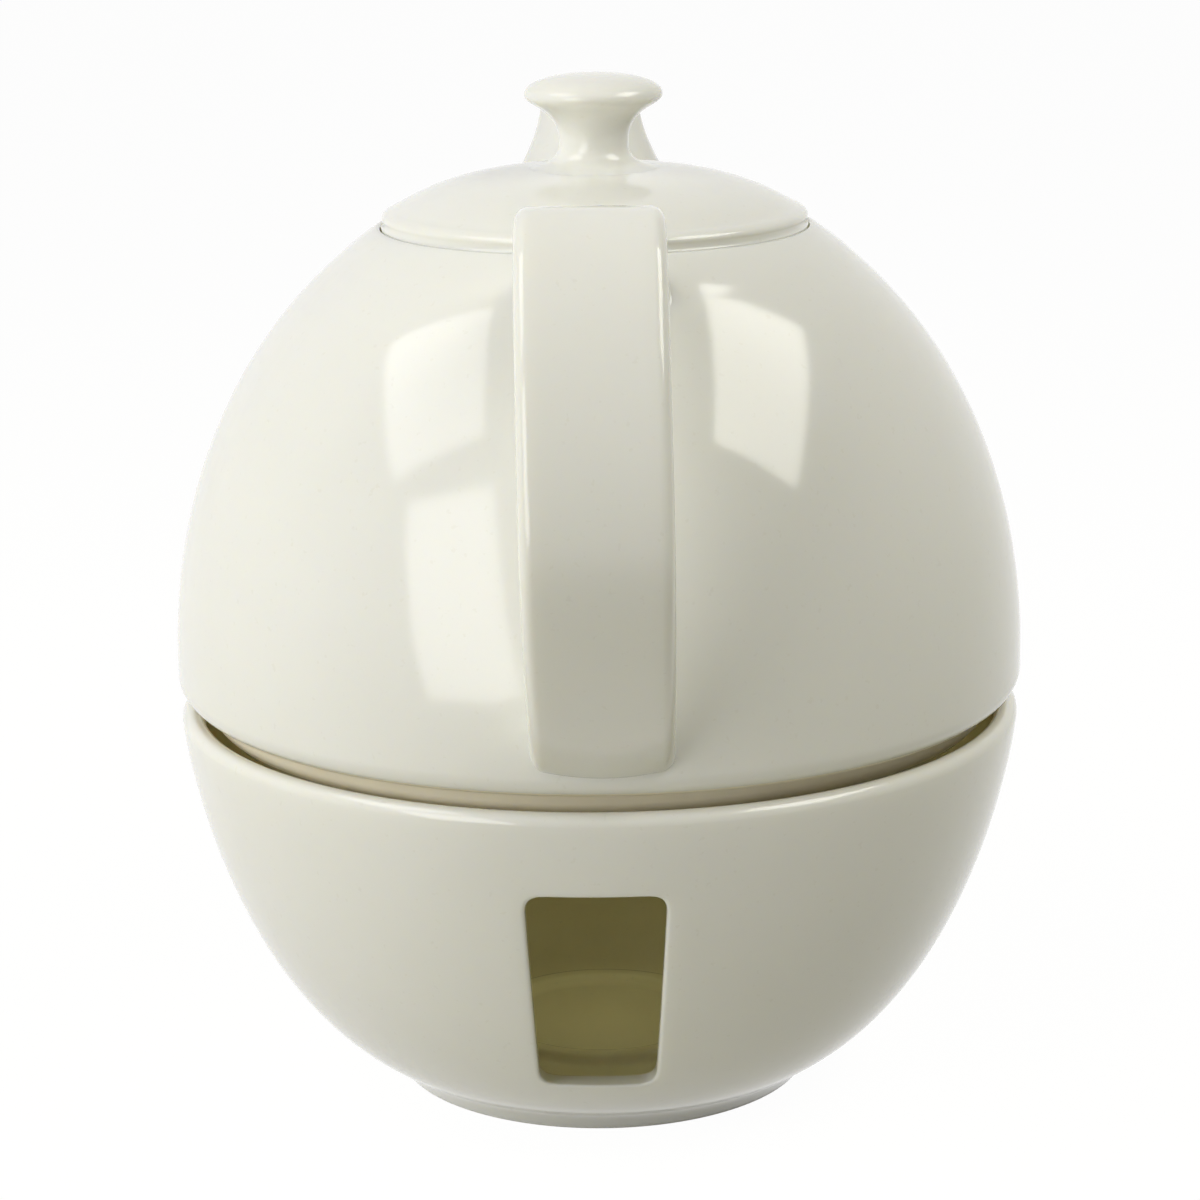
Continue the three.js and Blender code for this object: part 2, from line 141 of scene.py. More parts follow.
def finishMesh(piece, material, sharp):
    # edges that turn by more than sharp degrees stay crisp
    editOff()
    if "rail" in piece.data.attributes:
        piece.data.attributes.remove(piece.data.attributes["rail"])
    piece.data.materials.clear()
    piece.data.materials.append(material)
    bpy.ops.object.shade_smooth_by_angle(angle=math.radians(sharp))


def placeRing(piece, ring):
    # each selected vertex goes to its own rail's point of the ring
    mesh = bmesh.from_edit_mesh(piece.data)
    rail = mesh.verts.layers.int["rail"]
    for vert in mesh.verts:
        if vert.select:
            vert.co = Vector(ring[vert[rail]]) * mm
    bmesh.update_edit_mesh(piece.data)


def drawRings(name, rings):
    # a circle placed point by point, then extruded from ring to ring
    bpy.ops.object.select_all(action="DESELECT")
    bpy.ops.mesh.primitive_circle_add(vertices=len(rings[0]), radius=mm, fill_type="NOTHING")
    piece = bpy.context.object
    piece.name = name
    editOn()
    mesh = bmesh.from_edit_mesh(piece.data)
    rail = mesh.verts.layers.int.new("rail")
    for i, vert in enumerate(mesh.verts):
        vert[rail] = i
    bmesh.update_edit_mesh(piece.data)
    bpy.ops.mesh.select_all(action="SELECT")
    placeRing(piece, rings[0])
    for ring in rings[1:]:
        bpy.ops.mesh.extrude_region_move()
        placeRing(piece, ring)
    return piece


def applyModifier(piece, kind, **settings):
    modifier = piece.modifiers.new(kind.title(), kind)
    for key, value in settings.items():
        setattr(modifier, key, value)
    bpy.ops.object.select_all(action="DESELECT")
    piece.select_set(True)
    bpy.context.view_layer.objects.active = piece
    bpy.ops.object.modifier_apply(modifier=modifier.name)


def drill(piece, centre, diameter, depth, turn):
    # a round hole, cut by a rod that is then thrown away
    bpy.ops.object.select_all(action="DESELECT")
    bpy.ops.mesh.primitive_cylinder_add(
        vertices=32, radius=diameter / 2 * mm, depth=depth * mm,
        location=[value * mm for value in centre], rotation=turn)
    rod = bpy.context.object
    applyModifier(piece, "BOOLEAN", operation="DIFFERENCE", object=rod, solver="EXACT")
    bpy.data.objects.remove(rod, do_unlink=True)


def settle(piece, body, slot, *nodes):
    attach(piece, body)
    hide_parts(*nodes)
    print(piece.name, len(piece.data.polygons), "faces")


# glaze and bare clay

class Wire:
    # an output socket on which Python's operators add Math nodes
    def __init__(self, paint, socket):
        self.paint = paint
        self.socket = socket

    def math(self, operation, first, second):
        return self.paint.number("ShaderNodeMath", {"operation": operation}, {0: first, 1: second})

    def __add__(self, other):
        return self.math("ADD", self, other)

    def __radd__(self, other):
        return self.math("ADD", other, self)

    def __mul__(self, other):
        return self.math("MULTIPLY", self, other)

    def __rmul__(self, other):
        return self.math("MULTIPLY", other, self)


class Paint:
    # the node tree of one material, or of the world
    def __init__(self, owner):
        owner.use_nodes = True
        self.tree = owner.node_tree
        self.tree.nodes.clear()

    def node(self, kind, settings, values):
        node = self.tree.nodes.new(kind)
        for key, value in settings.items():
            setattr(node, key, value)
        for key, value in values.items():
            if isinstance(value, Wire):
                self.tree.links.new(value.socket, node.inputs[key])
            else:
                node.inputs[key].default_value = value
        return node

    def number(self, kind, settings, values, output=0):
        return Wire(self, self.node(kind, settings, values).outputs[output])

    def spot(self):
        return self.number("ShaderNodeTexCoord", {}, {}, "Object")

    def noise(self, spot, size, detail):
        # size is the width of a cloud in millimetres
        values = {"Vector": spot, "Scale": 1 / (size * mm), "Detail": detail}
        return self.number("ShaderNodeTexNoise", {}, values)

    def ramp(self, value, low, high):
        return self.number("ShaderNodeMapRange", {"interpolation_type": "SMOOTHSTEP"},
                           {"Value": value, "From Min": low, "From Max": high})

    def seenRays(self):
        # 1 for rays that show the room itself, 0 for those that carry its light
        path = self.node("ShaderNodeLightPath", {}, {})
        camera, glossy, clear = [Wire(self, path.outputs[f"Is {kind} Ray"])
                                 for kind in ("Camera", "Glossy", "Transmission")]
        seen = camera + glossy + clear
        return seen.math("MINIMUM", seen, 1.0)

    def blendColour(self, factor, first, second):
        # sockets 6 and 7 take the colours, and output 2 gives one
        values = {"Factor": factor, 6: first, 7: second}
        return self.number("ShaderNodeMix", {"data_type": "RGBA"}, values, 2)


def makeGlaze(name, look):
    material = bpy.data.materials.new(name)
    paint = Paint(material)
    spot = paint.spot()
    cloud = paint.ramp(paint.noise(spot, look["cloudSize"], 3.0), *look["cloudRange"])
    fleck = paint.ramp(paint.noise(spot, look["fleckSize"], 2.0), *look["fleckRange"])
    tone = paint.blendColour(cloud, look["colour"], look["cloudColour"])
    tone = paint.blendColour(fleck * look["fleckShare"], tone, look["fleckColour"])
    ripple = paint.noise(spot, look["rippleSize"], 1.0)
    bump = paint.number("ShaderNodeBump", {}, {
        "Height": ripple, "Strength": 1.0, "Distance": look["rippleDepth"] * mm})
    rough = look["roughness"] + cloud * look["roughnessSpread"]
    shader = paint.node("ShaderNodeBsdfPrincipled", {}, {
        "Base Color": tone, "Roughness": rough, "Normal": bump, "IOR": look["ior"],
        "Subsurface Weight": look["depthShare"], "Subsurface Radius": look["depthColour"],
        "Subsurface Scale": look["depth"] * mm})
    paint.node("ShaderNodeOutputMaterial", {}, {"Surface": Wire(paint, shader.outputs[0])})
    return material


glazeLook = {
    "colour": (0.80, 0.795, 0.725, 1),
    "cloudColour": (0.815, 0.81, 0.75, 1), "cloudSize": 60, "cloudRange": (0.3, 0.7),
    "fleckColour": (0.70, 0.68, 0.58, 1), "fleckSize": 1.4, "fleckRange": (0.66, 0.74),
    "fleckShare": 0.25,
    "rippleSize": 9, "rippleDepth": 0.03, "roughness": 0.09, "roughnessSpread": 0.03, "ior": 1.52,
    "depthShare": 0.35, "depth": 4.0, "depthColour": (1.0, 0.85, 0.5),  # light that enters the clay
}
# painted warm bounce light: the inside of the warmer gets a yellower glaze than the outside, so that
# light bouncing in the hollow renders olive
insideBounceLook = {
    **glazeLook, "colour": (0.88, 0.825, 0.60, 1), "cloudColour": (0.90, 0.85, 0.64, 1),
    "roughness": 0.13, "cloudSize": 35,
}
# painted warm glow: the slot between pot and warmer gets a tan glaze that stands in for light coming
# through the thin porcelain and bouncing in the gap
slotGlowLook = {
    **glazeLook, "colour": (0.79, 0.725, 0.56, 1), "cloudColour": (0.83, 0.77, 0.61, 1), "cloudSize": 24,
    "roughness": 0.3, "roughnessSpread": 0.1,
}
clayLook = {
    **glazeLook, "colour": (0.74, 0.71, 0.63, 1), "cloudColour": (0.79, 0.76, 0.69, 1), "cloudSize": 12,
    "fleckShare": 0.5, "rippleSize": 0.8, "rippleDepth": 0.05, "roughness": 0.62, "roughnessSpread": 0.1,
}
porcelainGlaze = makeGlaze("porcelainGlaze", glazeLook)
insideBounceGlaze = makeGlaze("insideBounceGlaze", insideBounceLook)
slotGlowGlaze = makeGlaze("slotGlowGlaze", slotGlowLook)
bareClay = makeGlaze("bareClay", clayLook)
print("materials made")


def coatFaces(piece, material, test):
    # gives the faces that pass the test another finish
    piece.data.materials.append(material)
    slot = len(piece.data.materials) - 1
    for face in piece.data.polygons:
        if test(face.center / mm, face.normal):
            face.material_index = slot


# warmer

bowl = {
    "rimRadius": 84.75, "rimHeight": 78.6, "sideDrop": 0.6, "poleDepth": 80.84,
    "power": 1.4346, "roundness": 0.2966, "swell": 0.1, "swellStart": 60, "swellRise": 16,
    "wall": 4.3, "skinTop": 76.26, "skinDepth": 72.16, "skinRows": 400, "skinStart": 4.6,
    "floor": 7.0, "filletTop": 11.4, "filletPull": 5.6, "filletReach": 13, "bounceTintTop": 74,
    "footRadius": 42.4, "footWidth": 4.4, "footRecess": 3.0, "footEdge": 0.8, "footInnerEdge": 0.6,
    "ringRadius": 20.8, "ringWidth": 5.0, "ringHeight": 2.0,
    "windowSector": 15.0, "windowSteps": 30, "restSteps": 150,
    "zoneBottom": 12.8, "zoneTop": 66.4, "zoneRows": 34,
}
window = {
    "sill": 16.8, "height": 45.2, "topWidth": 26.4, "sillWidth": 22.1, "corner": 3.6, "shift": -1.05,
    "edge": 0.9, "edgeSteps": 4, "ringShares": (0.35, 0.62, 1.0),
}


def bowlRadius(z):
    # radius of the bowl's outside at a height
    depth = max(bowl["rimHeight"] - bowl["sideDrop"] - z, 0) / bowl["poleDepth"]
    radius = bowl["rimRadius"] * (1 - depth ** bowl["power"]) ** bowl["roundness"]
    blend = min(max((z - bowl["swellStart"]) / bowl["swellRise"], 0), 1)
    return radius + bowl["swell"] * blend * blend * (3 - 2 * blend)


outerLine = []
for i in range(bowl["skinRows"] + 1):
    height = bowl["skinTop"] - bowl["skinDepth"] * i / bowl["skinRows"]
    outerLine.append((bowlRadius(height), height))
innerLine = [(r, z) for r, z in sideStep(outerLine, -bowl["wall"]) if z > bowl["floor"]]


def warmerProfile():
    foot, recess, start = bowl["footRadius"], bowl["footRecess"], bowl["skinStart"]
    edge, innerEdge = bowl["footEdge"], bowl["footInnerEdge"]
    inner = foot - bowl["footWidth"]
    zone = [bowl["zoneBottom"] + (bowl["zoneTop"] - bowl["zoneBottom"]) * i / bowl["zoneRows"]
            for i in range(bowl["zoneRows"] + 1)]
    below = [start + (bowl["zoneBottom"] - start) * i / 7 for i in range(7)]
    above = [bowl["zoneTop"] + (bowl["skinTop"] - bowl["zoneTop"]) * i / 7 for i in range(1, 8)]
    outside = [(bowlRadius(z), z) for z in below + zone + above]
    lipRadius = bowl["wall"] / 2
    lipCentre = (bowl["rimRadius"] - lipRadius, bowl["rimHeight"] - lipRadius)
    lip = arc(lipCentre, lipRadius, 5, 176, 14)
    insideTop = [bowl["zoneTop"] + 1.3 * i for i in range(7, 0, -1)]
    inside = [(radiusOn(innerLine, z), z) for z in insideTop + list(reversed(zone))]
    floorZ, ringTop = bowl["floor"], bowl["floor"] + bowl["ringHeight"]
    corner = radiusOn(innerLine, bowl["filletTop"])
    fillet = bend((corner, bowl["filletTop"]), (corner - bowl["filletPull"], floorZ),
                  (corner - bowl["filletReach"], floorZ), 8)
    ringIn, ringOut = bowl["ringRadius"], bowl["ringRadius"] + bowl["ringWidth"]
    ring = (bend((ringOut + 1.4, floorZ), (ringOut, floorZ), (ringOut - 0.5, ringTop - 0.7), 4)
            + bend((ringOut - 0.9, ringTop - 0.15), (ringOut - 2.4, ringTop + 0.05),
                   (ringIn + 1.1, ringTop - 0.2), 5)
            + bend((ringIn + 0.5, ringTop - 0.7), (ringIn, floorZ), (ringIn - 1.4, floorZ), 4))
    wallFoot = bowlRadius(start)
    return ([(0, recess), (inner - 3, recess)]
            + bend((inner - 1.4, recess), (inner - 0.6, recess), (inner - 0.4, recess - 0.9), 3)
            + arc((inner + innerEdge, innerEdge), innerEdge, 180, 270, 4)
            + arc((foot - edge, edge), edge, -90, 0, 5)
            + cubic((foot + 0.15, 0.75), (foot + 1.3, 2.3),
                    (wallFoot - 1.4, 3.7), (wallFoot, start), 9)[:-1]
            + outside + lip + inside + fillet + ring + [(12, floorZ), (4, floorZ), (0, floorZ)])


def windowOutline(across, up):
    # a point on the edge of the unit square, as x and z on the window's outline
    corner = window["corner"]
    halfHeight = window["height"] / 2
    middle = window["sill"] + halfHeight

    def edgePoint(x, y):
        half = (window["sillWidth"] + (window["topWidth"] - window["sillWidth"]) * (y + 1) / 2) / 2
        return half * x, middle + halfHeight * y

    def crowd(value):
        # more of the points go near the corners
        return 0.45 * value + 0.55 * (1.5 * value - 0.5 * value ** 3)

    across, up = crowd(across), crowd(up)
    x, z = edgePoint(across, up)
    side, end = math.copysign(1, across), math.copysign(1, up)
    cornerX, cornerZ = edgePoint(side, end)
    gapX, gapZ = abs(cornerX - x), abs(cornerZ - z)
    onFlat = abs(up) > 0.99999
    gap = gapX if onFlat else math.hypot(gapX, gapZ)
    if gap >= corner:
        return x + window["shift"], z
    share = (1 - gap / corner) / 2
    flatX, flatZ = cornerX - side * corner, cornerZ
    tallX, tallZ = edgePoint(side, end * (1 - corner / halfHeight))
    corners = [(flatX, flatZ), (cornerX, cornerZ), (tallX, tallZ)]
    if not onFlat:
        corners.reverse()
    x, z = mixPoints(((1 - share) ** 2, 2 * share * (1 - share), share ** 2), corners)
    return x + window["shift"], z


def cutWindow(piece):
    # the faces of both skins go, then rings lead from the square hole to the outline
    half = math.radians(bowl["windowSector"])
    low, high = bowl["zoneBottom"], bowl["zoneTop"]

    def angleOf(point):
        return math.atan2(point.x, -point.y)

    def isOutside(point):
        return math.hypot(point.x, point.y) > bowlRadius(point.z) - bowl["wall"] / 2

    mesh = bmesh.from_edit_mesh(piece.data)
    bpy.ops.mesh.select_all(action="DESELECT")
    bpy.ops.mesh.select_mode(type="FACE")
    for face in mesh.faces:
        middle = face.calc_center_median() / mm
        face.select_set(abs(angleOf(middle)) < half and low < middle.z < high)
    bmesh.update_edit_mesh(piece.data)
    bpy.ops.mesh.delete(type="FACE")

    mesh = bmesh.from_edit_mesh(piece.data)
    rail = mesh.verts.layers.int.new("rail")
    bpy.ops.mesh.select_mode(type="EDGE")
    bpy.ops.mesh.select_all(action="DESELECT")
    border = [edge for edge in mesh.edges if edge.is_boundary]
    for edge in border:
        edge.select_set(True)
    starts, ends, others = {}, {}, {}
    loopVerts = {vert for edge in border for vert in edge.verts}
    for number, vert in enumerate(loopVerts, 1):
        vert[rail] = number
        point = vert.co / mm
        isOuter = isOutside(point)
        across = angleOf(point) / half
        up = (point.z - (low + high) / 2) / ((high - low) / 2)
        x, z = windowOutline(max(-1, min(1, across)), max(-1, min(1, up)))
        outerY = -math.sqrt(bowlRadius(z) ** 2 - x * x)
        innerY = -math.sqrt(radiusOn(innerLine, z) ** 2 - x * x)
        starts[number] = (point.x, point.z, isOuter)
        ends[number] = (x, z)
        others[number] = (x, innerY if isOuter else outerY, z)
    bmesh.update_edit_mesh(piece.data)
    for share in window["ringShares"]:
        bpy.ops.mesh.extrude_region_move()
        mesh = bmesh.from_edit_mesh(piece.data)
        rail = mesh.verts.layers.int["rail"]
        for vert in mesh.verts:
            if not vert.select:
                continue
            x0, z0, isOuter = starts[vert[rail]]
            x1, z1 = ends[vert[rail]]
            x, z = x0 + (x1 - x0) * share, z0 + (z1 - z0) * share
            radius = bowlRadius(z) if isOuter else radiusOn(innerLine, z)
            vert.co = Vector((x, -math.sqrt(radius * radius - x * x), z)) * mm
        bmesh.update_edit_mesh(piece.data)
    # the outer outline is drawn through the wall until it meets the inner one
    mesh = bmesh.from_edit_mesh(piece.data)
    rail = mesh.verts.layers.int["rail"]
    outline = [vert.co.copy() for vert in mesh.verts if vert.select]
    for edge in mesh.edges:
        if edge.select and not all(starts[vert[rail]][2] for vert in edge.verts):
            edge.select_set(False)
    mesh.select_flush_mode()
    bmesh.update_edit_mesh(piece.data)
    bpy.ops.mesh.extrude_region_move()
    mesh = bmesh.from_edit_mesh(piece.data)
    rail = mesh.verts.layers.int["rail"]
    for vert in mesh.verts:
        if vert.select:
            vert.co = Vector(others[vert[rail]]) * mm
    bmesh.update_edit_mesh(piece.data)
    closeSeams()
    # glaze rounds the window's edge on both skins

    def place(point):
        # to the micrometre
        return tuple(round(value / mm * 1000) for value in point)

    places = {place(point) for point in outline}
    mesh = bmesh.from_edit_mesh(piece.data)
    bpy.ops.mesh.select_all(action="DESELECT")
    onOutline = {vert for vert in mesh.verts if place(vert.co) in places}
    for edge in mesh.edges:
        first, second = edge.verts
        isRim = first in onOutline and second in onOutline
        if isRim and isOutside(first.co / mm) == isOutside(second.co / mm):
            edge.select_set(True)
    bmesh.update_edit_mesh(piece.data)
    bpy.ops.mesh.bevel(offset=window["edge"] * mm, segments=window["edgeSteps"], profile=0.5,
                       affect="EDGES", clamp_overlap=True)
    bpy.ops.mesh.select_all(action="SELECT")
    bpy.ops.mesh.normals_make_consistent(inside=False)


warmerShell = drawProfile("warmerShell", warmerProfile())
bpy.ops.mesh.select_all(action="SELECT")
bpy.ops.transform.rotate(value=math.radians(90 + bowl["windowSector"]), orient_axis="Z",
                         center_override=(0, 0, 0))
spinProfile([(2 * bowl["windowSector"], bowl["windowSteps"]),
             (360 - 2 * bowl["windowSector"], bowl["restSteps"])])
cutWindow(warmerShell)
finishMesh(warmerShell, porcelainGlaze, 50)


# faces inside the bowl that get the painted warm bounce light
def insideBowl(point, normal):
    radius = math.hypot(point.x, point.y)
    onWall = radius < bowlRadius(point.z) - bowl["wall"] * 0.9
    return onWall and bowl["floor"] - 1 < point.z < bowl["bounceTintTop"]


# faces inside the rim's lip that get the painted tan glow
def insideLip(point, normal):
    radius = math.hypot(point.x, point.y)
    inHeight = bowl["bounceTintTop"] <= point.z < bowl["rimHeight"] - 0.5
    return inHeight and radius < bowl["rimRadius"] - bowl["wall"] / 2


def underFoot(point, normal):
    return point.z < 0.25


# the inside and the lip get painted warm light, the foot its bare clay
coatFaces(warmerShell, insideBounceGlaze, insideBowl)
coatFaces(warmerShell, slotGlowGlaze, insideLip)
coatFaces(warmerShell, bareClay, underFoot)
settle(warmerShell, "warmer", "warmer_glaze", "warmer_bowl")


# pot

belly = {
    "radius": 85.25, "height": 98.2, "power": 2.05, "belt": 88.6, "wall": 4.2, "steps": 180,
    "cornerRadius": 4.5, "cornerDrop": 2.6, "cornerTurn": 45, "cornerTip": 0.9,
    "ledgeHeight": 81.6, "neckRadius": 79.2, "neckBottom": 78.1,
    "footRadius": 44.0, "footWidth": 4.6, "footTop": 61.0, "footBottom": 58.8, "footEdge": 0.8,
    "mouthRadius": 36.3, "galleryRadius": 42.3, "seatHeight": 172.8, "seatThickness": 4.4,
    "lipRound": 1.6, "lipRaise": 0.35, "lipReach": 9,  # the mouth's edge stands up a little
}


def skinHeight(radius):
    # height of the pot's outside at a radius
    share = (radius / belly["radius"]) ** belly["power"]
    return belly["belt"] + belly["height"] * (1 - share) ** (1 / belly["power"])


def bellyLine(startRadius, rows):
    # outside of the pot from a radius near the mouth down to the ledge
    a, h, n = belly["radius"], belly["height"], belly["power"]
    top = math.acos((startRadius / a) ** (n / 2))
    line = []
    for i in range(rows + 1):
        angle = top * (1 - i / rows)
        line.append((a * math.cos(angle) ** (2 / n),
                     belly["belt"] + h * max(math.sin(angle), 0) ** (2 / n)))
    centre = (a - belly["cornerRadius"], belly["belt"] - belly["cornerDrop"])
    return line + arc(centre, belly["cornerRadius"], 0, -belly["cornerTurn"], 8)


def neckLine(rows):
    # from the edge of the ledge down to the foot, inside the warmer's rim
    neck, ledge, bottom = belly["neckRadius"], belly["ledgeHeight"], belly["neckBottom"]
    slope = bend((neck, bottom), (neck - bottom + belly["footTop"], belly["footTop"]),
                 (belly["footRadius"], belly["footTop"]), rows)
    return (bend((neck + 1.5, ledge), (neck, ledge), (neck, ledge - 1.2), 6)
            + bend((neck, bottom + 1.2), (neck, bottom), slope[1], 4) + slope[2:])


bellySkin = bellyLine(20, 500)
galleryLip = skinHeight(belly["galleryRadius"])


def bodyProfile():
    seat, mouth, gallery = belly["seatHeight"], belly["mouthRadius"], belly["galleryRadius"]
    ledge, footTop, ceiling = belly["ledgeHeight"], belly["footTop"], seat - belly["seatThickness"]
    outside = []
    for r, z in bellyLine(gallery + belly["lipRound"], 84):
        share = max(1 - (r - gallery) / belly["lipReach"], 0)
        outside.append((r, z + belly["lipRaise"] * share ** 0.5))
    corner, length = outside[-1], belly["cornerTip"]
    turn = math.radians(belly["cornerTurn"])
    tip = (corner[0] - math.sin(turn) * length, corner[1] - math.cos(turn) * length)
    outside += bend(corner, tip, (tip[0] - 1.0, ledge), 5)[1:] + neckLine(30)
    # the inside keeps the wall's thickness, but passes over the ledge in one curve
    upper = [point for point in bellyLine(mouth, 110) if point[1] > ledge + 9]
    lower = [point for point in neckLine(30) if point[1] < ledge - 3]
    start, end = upper[-1], lower[0]
    joint = cubic(start, (start[0], start[1] - 5), (end[0] + 1.4, end[1] + 6), end, 10)
    shell = sideStep(upper + joint[1:-1] + lower, -belly["wall"])
    below = [point for i, point in enumerate(shell)
             if point[1] < ceiling - 1.6 and shell[i - 1][1] > point[1]]
    wallTop = radiusOn(shell, ceiling)
    inside = ([(0, footTop + belly["wall"])] + list(reversed(below))
              + bend((radiusOn(shell, ceiling - 1.5), ceiling - 1.5), (wallTop, ceiling),
                     (wallTop - 2.4, ceiling), 4)
              + bend((mouth + 1.2, ceiling), (mouth, ceiling), (mouth, ceiling + 1.2), 4)
              + bend((mouth, seat - 1.5), (mouth, seat), (mouth + 1.5, seat), 5)
              + bend((gallery - 0.7, seat), (gallery, seat), (gallery, seat + 0.6), 3)
              + bend((gallery, galleryLip - 1.1), (gallery + 0.1, galleryLip + 0.25),
                     outside[0], 7)[:-1])
    foot, bottom, edge = belly["footRadius"], belly["footBottom"], belly["footEdge"]
    footInner = foot - belly["footWidth"]
    return (inside + outside[:-1]
            + bend((foot + 1.2, footTop + 0.02), (foot, footTop), (foot, footTop - 0.8), 3)
            + arc((foot - edge, bottom + edge), edge, 0, -90, 4)
            + arc((footInner + edge, bottom + edge), edge, -90, -180, 4)
            + bend((footInner, footTop - 0.7), (footInner, footTop), (footInner - 0.8, footTop), 3)
            + [(20, footTop), (0, footTop)])


def underPot(point, normal):
    return point.z < belly["footBottom"] + 0.2


def onNeck(point, normal):
    # the ledge and the neck, which the rim hides from most of the light; their tan is a painted glow that
    # stands in for light coming through the porcelain
    radius = math.hypot(point.x, point.y)
    outside = radius > belly["neckRadius"] - 1.5
    return outside and belly["neckBottom"] - 1.5 < point.z < belly["ledgeHeight"] + 0.6


strainer = {
    "diameter": 5.5, "pitch": 10.5, "height": 130.0,
    "around": 6, "out": 74, "depth": 40,  # six holes round one, cut 74 mm from the axis
}

potShell = drawProfile("potShell", bodyProfile())
spinProfile([(360, belly["steps"])])
editOff()
strainerSpots = [(0, strainer["height"])]
for i in range(strainer["around"]):
    angle = fullTurn * i / strainer["around"]
    strainerSpots.append((strainer["pitch"] * math.cos(angle),
                          strainer["height"] + strainer["pitch"] * math.sin(angle)))
for x, z in strainerSpots:
    drill(potShell, (x, strainer["out"], z), strainer["diameter"], strainer["depth"], (math.pi / 2, 0, 0))
finishMesh(potShell, porcelainGlaze, 38)
coatFaces(potShell, bareClay, underPot)
# the ledge and the neck get the painted tan glow
coatFaces(potShell, slotGlowGlaze, onNeck)
settle(potShell, "pot", "pot_glaze", "pot_body")


def outsideBelly(point):
    # how far a point in millimetres lies outside the pot's skin, sideways
    return math.hypot(point.x, point.y) - radiusOn(bellySkin, point.z)


def bellyNormal(point):
    step = 0.4
    slope = (radiusOn(bellySkin, point.z - step) - radiusOn(bellySkin, point.z + step)) / (2 * step)
    out = Vector((point.x, point.y, 0)).normalized()
    return Vector((out.x, out.y, slope)).normalized()


def onBelly(point, sunk):
    # nearest point of the skin, sunk into it
    place = Vector(point)
    for _ in range(6):
        normal = bellyNormal(place)
        gap = outsideBelly(place) * math.hypot(normal.x, normal.y)
        place = place - normal * gap
    return place - bellyNormal(place) * sunk


def trimRails(rails):
    # where each rail of points comes out of the belly, as a point and a position on the rail
    hits = []
    for rail in rails:
        for i in range(len(rail) - 1):
            a, b = rail[i], rail[i + 1]
            gapA, gapB = outsideBelly(a), outsideBelly(b)
            if gapA <= 0 < gapB:
                share = -gapA / (gapB - gapA)
                hits.append((a.lerp(b, share), i + share))
                break
    return hits


def alongRail(rail, position):
    # the point at a position, where whole numbers are the rail's own points
    i = max(0, min(len(rail) - 2, int(position)))
    return rail[i].lerp(rail[i + 1], position - i)


def walkRail(rail, position, distance):
    # the position on a rail that lies a distance further on
    while position < len(rail) - 1.001:
        step = min(math.floor(position) + 1, len(rail) - 1) - position
        length = (alongRail(rail, position + step) - alongRail(rail, position)).length
        if length >= distance:
            return position + step * distance / max(length, 1e-9)
        distance -= length
        position += step
    return position


root = {"sunk": 0.12, "leastReach": 0.6, "pull": 0.62}  # for every piece that grows out of the belly


def rootRings(rails, hits, spread, steps):
    # rings of a root that flows out on the belly, or rounds in where the spread is negative
    count = len(rails)
    ends, tops = [], []
    for j in range(count):
        point, position = hits[j]
        before, after = hits[j - 1][0], hits[(j + 1) % count][0]
        normal = bellyNormal(point)
        outward = (after - before).cross(normal).normalized()
        middle = sum((hit[0] for hit in hits), Vector()) / count
        if outward.dot(point - middle) < 0:
            outward = -outward
        reach = spread(point, outward)
        ends.append(onBelly(point + outward * reach, root["sunk"]))
        tops.append(walkRail(rails[j], position, max(abs(reach), root["leastReach"])))
    lines = []
    for j in range(count):
        top, hit = alongRail(rails[j], tops[j]), hits[j][0]
        course = (alongRail(rails[j], tops[j] + 0.5) - alongRail(rails[j], tops[j] - 0.5)).normalized()
        pull = (top - hit).length * root["pull"]
        lines.append(cubic(ends[j], ends[j].lerp(hit, root["pull"]), top - course * pull, top, steps))
    rings = [[Vector(line[k]) for line in lines] for k in range(steps + 1)]
    return rings, tops


# handle

handle = {
    "root": (46.0, 5.6), "rootPull": (17.0, 11.0), "top": (88.0, 185.0), "topPull": (14.0, 15.0),
    "bulge": (118.78, 136.0), "bulgeShare": (0.4, 0.3), "foot": (80.0, 87.2), "footPull": (9.2, 7.7),
    "width": 26.2, "thickness": 8.0, "edge": 2.4, "crown": 0.2, "footCrown": 1.5,
    "footCrownPoints": 34, "footCrownRise": 26,  # it begins 34 points before the line's end
    "rootSpread": 2.4, "rootLimit": 44.0, "leastRoom": 0.4,  # the lid leaves the root little room
    "footSpread": 0.7, "footRound": 1.3, "rows": 110, "flowSteps": 7, "sink": 1.6, "sinkShrink": 0.12,
    "leanAt": 90.0, "leanFoot": 0.5, "lean": 0.0143,
}


def handleLine():
    # middle of the strap as [distance behind the axis, z], from its root over the top to its foot
    (rootOut, sink), (pullOut, pullUp) = handle["root"], handle["rootPull"]
    start = (rootOut, skinHeight(rootOut) - sink)
    top, bulge, foot = handle["top"], handle["bulge"], handle["foot"]
    rise, fall = top[1] - bulge[1], bulge[1] - foot[1]
    first = cubic(start, (start[0] + pullOut, start[1] + pullUp),
                  (top[0] - handle["topPull"][0], top[1]), top, 60)
    second = cubic(top, (top[0] + handle["topPull"][1], top[1]),
                   (bulge[0], bulge[1] + rise * handle["bulgeShare"][0]), bulge, 80)
    third = cubic(bulge, (bulge[0], bulge[1] - fall * handle["bulgeShare"][1]),
                  (foot[0] + handle["footPull"][0], foot[1] + handle["footPull"][1]), foot, 80)
    return first + second[1:] + third[1:]


